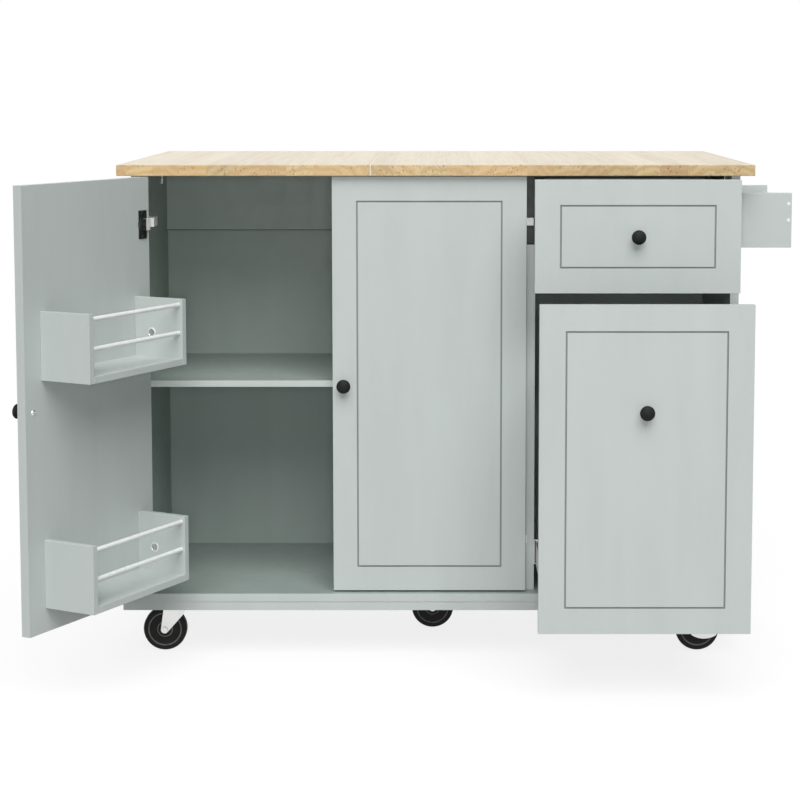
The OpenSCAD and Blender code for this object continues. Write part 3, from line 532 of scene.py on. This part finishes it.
# where it is seen it glows, so that it looks white with a pale shadow, and that glow
# doesn't light the object; its own grey is lighter for the light that it throws
glow = add(tree, "ShaderNodeMath", {0: shown, 1: FLOOR_GLOW}, operation="MULTIPLY")
pale = add(tree, "ShaderNodeMix", {0: shown, 6: "#a4a4a4", 7: "#787878"},
           data_type="RGBA")
matt = add(tree, "ShaderNodeBsdfDiffuse", {"Color": pale.outputs["Result"]})
lit = add(tree, "ShaderNodeEmission", {"Color": "#ffffff", "Strength": glow.outputs[0]})
both = add(tree, "ShaderNodeAddShader", {0: matt.outputs[0], 1: lit.outputs[0]})
add(tree, "ShaderNodeOutputMaterial", {"Surface": both.outputs[0]})
floor.data.materials.append(ground)

# ---------------------------------------------------------------- boards

for node in ("worktop_left_board", "worktop_right_board", "drop_leaf"):
    eased(node, WOOD, "worktop_wood", width=1.2, segments=3)

# The strip in the boards' joint lies a little inside the worktop's faces
JOINT_X = LEFT_BOARD_W - WORKTOP_W / 2 - BOARD_GAP / 2
STRIP_W = 2.0
STRIP_IN = 0.4
strip = block("worktop_joint_strip", (0, 0, 0),
              (STRIP_W, WORKTOP_D - 2 * STRIP_IN, WORKTOP_T - 2 * STRIP_IN))
edit(strip)
bpy.ops.mesh.select_all(action="SELECT")
bpy.ops.mesh.bevel(offset=0.3 * MM, segments=2)
deselect()
strip.data.transform(Matrix.Translation(
    at(JOINT_X - STRIP_W / 2, STRIP_IN, WORKTOP_TOP - WORKTOP_T + STRIP_IN)))
dress(strip, FILLER, "cabinet", "worktop_wood")

for node in ("towel_brackets", "towel_rail", "rack_ends", "rack_shelves",
             "drawer_walls", "drawer_bottom", "bin_walls", "bin_bottom"):
    eased(node, LACQUER, "painted_board")
eased("base_rails", LACQUER, "painted_board", width=0.3)

# Boards of the carcass, with painted shade on the faces that look into the cabinet
for node, width, inward in (
        ("left_side_panel", 0.7, lambda middle, way: way.x > 0.5),
        ("right_side_panel", 0.7, lambda middle, way: way.x < -0.5),
        ("interior_shelf", 0.7, lambda middle, way: abs(way.z) > 0.5),
        ("bottom_panel", 0.3, lambda middle, way: way.z > 0.5),
        ("back_panel", 0.7, lambda middle, way: way.y < -0.5)):
    part_finish(eased(node, LACQUER, "painted_board", width=width), INSIDE_SHADE_LACQUER, inward)
# The rear rail: painted shade on its face into the cabinet, and a dark painted shadow on
# its lower edge
rail = eased("top_rear_rail", LACQUER, "painted_board", width=1.5)
part_finish(rail, INSIDE_SHADE_LACQUER, lambda middle, way: way.y < -0.9)
part_finish(rail, PAINTED_SHADE_EDGE, lambda middle, way: way.z < -0.3)
divider = eased("centre_divider", LACQUER, "painted_board")
# painted shade on the divider's faces that look into the cabinet
part_finish(divider, INSIDE_SHADE_LACQUER, lambda middle, way: abs(way.x) > 0.5)
# the faces of the notch at its upper front corner, painted dark as shade
NOTCH_Y = (40, 100)
part_finish(divider, PAINTED_SHADE_EDGE, lambda middle, way: (
    abs(way.x) < 0.5 and NOTCH_Y[0] < middle.y < NOTCH_Y[1]))

# ---------------------------------------------------------------- places on the fronts

# Shapes on a front are placed as if it were shut, and then moved with it to where the
# front is at rest: the left door is open, and both drawers are out
DOOR_AXIS = at(-536.6, 7.7, 0)
DOOR_OPEN = 118
OPENED = (Matrix.Translation(DOOR_AXIS)
          @ Matrix.Rotation(math.radians(-DOOR_OPEN), 4, "Z")
          @ Matrix.Translation(-DOOR_AXIS))
SHUT = Matrix()
DRAWER_OUT = Matrix.Translation((0, -126 * MM, 0))
BIN_OUT = Matrix.Translation((0, -295 * MM, 0))

# The outer and inner faces of the shut fronts, and the doors' edges
FRONT, INNER = 12, 29
LEFT_X, RIGHT_X, RIGHT_END = -541, -187, 164
DOOR_W = RIGHT_END - RIGHT_X
DRAWER_X = 352.5
KNOB_IN, KNOB_Z, DRAWER_Z = 20, 503, 783.5
OUT, IN, DOWN = (0, -1, 0), (0, 1, 0), (0, 0, -1)

# ---------------------------------------------------------------- doors and fronts

GROOVE_DEPTHS = (0.75, 2.6)


# the faces inside the routed grooves, which get the painted groove shade
def in_groove(middle, way):
    return GROOVE_DEPTHS[0] < middle.y - FRONT < GROOVE_DEPTHS[1]


# the fronts, with painted shade in their grooves
for node, moved in (("left_door", OPENED), ("right_door", SHUT),
                    ("drawer_front", DRAWER_OUT), ("bin_front", BIN_OUT)):
    front = eased(node, LACQUER, "painted_board", width=0.6)
    part_finish(front, GROOVE_SHADE_LACQUER, in_groove, moved)

# ---------------------------------------------------------------- knobs and screws

def cross_screw(name, dia, height):
    """A domed screw head with a cross cut in it."""
    r = dia / 2
    sunk = -0.3
    piece = turned(name, [
        (0, height), (0.55 * r, 0.92 * height), (0.85 * r, 0.62 * height),
        (r, 0.16 * height), (r, sunk), (0, sunk)], steps=24)
    cross(piece, dia * 0.09, dia * 0.31, height * 0.35, height * 2)
    return piece


# The rounded head of a knob, its waist and its foot
KNOB = turned("knob_pattern", [
    (0, 22), (3, 21.78), (6, 21.1), (8.5, 20.2), (10.6, 19.1), (12, 18.0), (12.6, 17.0),
    (12.75, 16.0), (12.6, 15.0), (11.9, 13.9), (10.2, 12.6), (8, 11.2), (6.8, 9.6),
    (6.4, 7.5), (6.4, 4.5), (6.9, 2.8), (8, 1.4), (8.4, 0.6), (8.4, 0.02), (0, 0.02)])
KNOB_SCREW = cross_screw("knob_screw_pattern", 10, 2.2)
SMALL_SCREW = cross_screw("small_screw_pattern", 6, 1.0)
PLATE_SCREW = cross_screw("plate_screw_pattern", 7, 1.9)
RAIL_SCREW = cross_screw("rail_screw_pattern", 7, 1.0)

for node, x, z, moved in (
        ("left_door_knob", LEFT_X + DOOR_W - KNOB_IN, KNOB_Z, OPENED),
        ("right_door_knob", RIGHT_X + KNOB_IN, KNOB_Z, SHUT),
        ("drawer_knob", DRAWER_X, DRAWER_Z, DRAWER_OUT),
        ("bin_knob", DRAWER_X, KNOB_Z, BIN_OUT)):
    copied(KNOB, node + "_turned", [moved @ facing(at(x, FRONT, z), OUT)], KNOB_BLACK,
           BODY_OF[node], "black_knob", node)
    copied(KNOB_SCREW, node + "_screw", [moved @ facing(at(x, INNER + 0.01, z), IN)],
           ZINC, BODY_OF[node], "zinc_hardware")

# ---------------------------------------------------------------- door hinges

HINGE_ZS = (798, 215)
CUP_IN, CUP_SCREW_RISE = 19.5, 21.5
FLANGE_T = 1.5
# the knuckle stands above the flange, this far in from the door's edge
KNUCKLE_IN, KNUCKLE_HALF_W, KNUCKLE_HALF_H = 12, 6.6, 11
LEFT_WALL_X, RIGHT_WALL_X = -535, 165
PLATE_T, PLATE_Y, PLATE_SCREW_RISE = 2, 71, 18

# A disc with two folds stands for the folded link and the spring that fill a cup
LINK = turned("link_pattern", [(0, 0.6), (8.6, 0.6), (10.4, 0.2), (11.6, -0.8),
                               (11.6, -6), (0, -6)], steps=32)
for long in (3.2, 6.4):
    cut(LINK, block("fold", (-0.5, -long, 0.1), (0.5, long, 3)))
for node, edge, way, moved in (("left_hinge_cups", LEFT_X, 1, OPENED),
                               ("right_hinge_cups", RIGHT_END, -1, SHUT)):
    def on_knuckle(middle, looks):
        return (middle.y > INNER + FLANGE_T + 0.1
                and abs(middle.x - edge - way * KNUCKLE_IN) < KNUCKLE_HALF_W
                and min(abs(middle.z - z) for z in HINGE_ZS) < KNUCKLE_HALF_H)

    cups = eased(node, DARK_NICKEL, "nickel_hardware", width=0.4)
    part_finish(cups, BRIGHT_NICKEL, on_knuckle, moved)
    x = edge + way * CUP_IN
    places = [moved @ facing(at(x, INNER, z), IN) for z in HINGE_ZS]
    copied(LINK, node + "_links", places, DARK_NICKEL, BODY_OF[node], "nickel_hardware")
    places = [moved @ facing(at(x, INNER + FLANGE_T, z + side * CUP_SCREW_RISE), IN, 20)
              for z in HINGE_ZS for side in (-1, 1)]
    copied(SMALL_SCREW, node + "_screws", places, NICKEL, BODY_OF[node],
           "nickel_hardware")
eased("door_hinge_plates", BRIGHT_NICKEL, "nickel_hardware", width=0.4)
places = [facing(at(wall_x + way * PLATE_T, PLATE_Y, z + side * PLATE_SCREW_RISE),
                 (way, 0, 0), 15)
          for wall_x, way in ((LEFT_WALL_X, 1), (RIGHT_WALL_X, -1))
          for z in HINGE_ZS for side in (-1, 1)]
copied(PLATE_SCREW, "hinge_plate_screws", places, NICKEL, "cabinet", "nickel_hardware")

# ---------------------------------------------------------------- racks on the door

# The racks' left end, length, depth, height and thickness, and their lower edges
RACK_X, RACK_L, RACK_D, RACK_H, RACK_T = -508, 276, 102, 117, 12
RACK_ZS = (554, 165)
ROD_IN, ROD_DROPS = 8, (10, 60)
ROD_L = RACK_L - 2 * RACK_T
# a cam lock's height and distance from the door, and where its bright ring begins
CAM_RISE, CAM_OUT, CAM_RING_R = 55, 36, 6.4
CAM = turned("cam_pattern", [(0, 0.5), (5.9, 0.5), (6.3, 1.0), (8.1, 1.0), (8.5, 0.7),
                             (8.5, 0), (0, 0)], steps=32)
cross(CAM, 1.0, 4.8, 0.2, 3)
ROD = turned("rod_pattern", [(0, 0), (3.6, 0), (4.0, 0.4), (4.0, ROD_L - 0.4),
                             (3.6, ROD_L), (0, ROD_L)], steps=24)
cam_places = [
    OPENED @ facing(at(x, INNER + CAM_OUT, z + CAM_RISE), (way, 0, 0), 20)
    for z in RACK_ZS
    for x, way in ((RACK_X + RACK_T, 1), (RACK_X + RACK_L - RACK_T, -1))]
rod_places = [
    OPENED @ facing(at(RACK_X + RACK_T, INNER + RACK_D - ROD_IN, z + RACK_H - drop),
                    (1, 0, 0))
    for z in RACK_ZS for drop in ROD_DROPS]


def on_cam_ring(middle, way):
    rise = min(abs(middle.z - z - CAM_RISE) for z in RACK_ZS)
    return math.hypot(middle.y - INNER - CAM_OUT, rise) > CAM_RING_R


cams = copied(CAM, "rack_cam_locks_turned", cam_places, NICKEL, "left_door",
              "nickel_hardware", "rack_cam_locks")
part_finish(cams, BRIGHT_NICKEL, on_cam_ring, OPENED)
copied(ROD, "rack_rods_turned", rod_places, ENAMEL, "left_door", "white_steel",
       "rack_rods")

# ---------------------------------------------------------------- towel rail screws

RAIL_X, RAIL_Z, RAIL_SCREW_RISE = 645, 814.5, 15
BRACKETS_FRONT, BRACKETS_BACK = 65, 355
places = [facing(at(RAIL_X, y, RAIL_Z + side * RAIL_SCREW_RISE), way, 25)
          for y, way in ((BRACKETS_FRONT, OUT), (BRACKETS_BACK, IN))
          for side in (-1, 1)]
copied(RAIL_SCREW, "towel_rail_screws_crossed", places, ENAMEL, "cabinet", "white_steel",
       "towel_rail_screws")

# ---------------------------------------------------------------- casters

# Half of a wheel's outline, from its hub's bore past two ribs to the middle of its
# tread. The other half is the same in a mirror.
WHEEL_HALF = [
    (4.15, 12), (12.6, 12), (13.6, 11.7), (14.1, 11.0), (14.9, 10.2), (16.2, 9.9),
    (27.2, 9.9), (28.6, 10.3), (29.2, 11.2), (29.8, 11.55), (30.6, 11.2), (31.2, 11.2),
    (36.4, 11.5), (38.2, 10.7), (39.4, 9.2), (40, 7)]
WHEEL = turned("wheel_pattern", [(radius, -height) for radius, height in WHEEL_HALF]
               + WHEEL_HALF[::-1], steps=64, closed=True)
RIBS = ((12.8, 15), (28.8, 31))
RIB_OUT = 10.4
TRAIL, AXLE_Z = 11, 40
AXLE_HEAD_R, AXLE_HEAD_OUT = 6.5, 15
CASTER_PLATE_FOOT, PLATE_HOLE = 102.6, 22
CASTERS = {"front_left": (-492, 61), "front_right": (497, 61), "centre": (5, 218),
           "rear_left": (-492, 375), "rear_right": (497, 375)}
for name, (x, y) in CASTERS.items():
    wheel, fork = name + "_wheel", name + "_fork"
    axle = Vector((x - TRAIL, y, AXLE_Z))

    def from_axle(middle):
        return (math.hypot(middle.x - axle.x, middle.z - axle.z),
                abs(middle.y - axle.y))

    def on_rib(middle, way):
        out, aside = from_axle(middle)
        return aside > RIB_OUT and any(low < out < high for low, high in RIBS)

    def beside_axle(middle, way):
        """On the sides of the axle's heads, which are left dark."""
        out, aside = from_axle(middle)
        return out < AXLE_HEAD_R and aside > AXLE_HEAD_OUT and abs(way.y) < 0.5

    tyre = copied(WHEEL, wheel + "_turned", [facing(at(*axle), IN)], WHEEL_BLACK,
                  BODY_OF[wheel], "wheel_black", wheel)
    part_finish(tyre, WHEEL_RIB, on_rib)
    part_finish(eased(fork, ZINC, "zinc_hardware", width=0.3), DARK_NICKEL, beside_axle)
for node in ("caster_plates", "front_right_brake", "rear_left_brake"):
    eased(node, ZINC, "zinc_hardware", width=0.4)
places = [facing(at(x + dx, y + dy, CASTER_PLATE_FOOT), DOWN, 30)
          for x, y in CASTERS.values()
          for dx in (-PLATE_HOLE, PLATE_HOLE) for dy in (-PLATE_HOLE, PLATE_HOLE)]
copied(PLATE_SCREW, "caster_plate_screws", places, ZINC, "cabinet", "zinc_hardware")

# ---------------------------------------------------------------- leaf hinges and stays

for node in ("leaf_hinge_fixed_plates", "leaf_hinge_moving_plates"):
    eased(node, NICKEL, "nickel_hardware", width=0.25)
for node in ("stay_wall_plates", "stay_leaf_plates", "stay_lower_arms",
             "stay_upper_arms"):
    eased(node, ZINC, "zinc_hardware", width=0.3)
eased("worktop_brackets", NICKEL, "nickel_hardware", width=0.3)

for pattern in (LINK, KNOB, KNOB_SCREW, SMALL_SCREW, PLATE_SCREW, RAIL_SCREW, CAM, ROD,
                WHEEL):
    bpy.data.objects.remove(pattern)
deselect()

scene = bpy.context.scene
scene.view_settings.view_transform = "Standard"
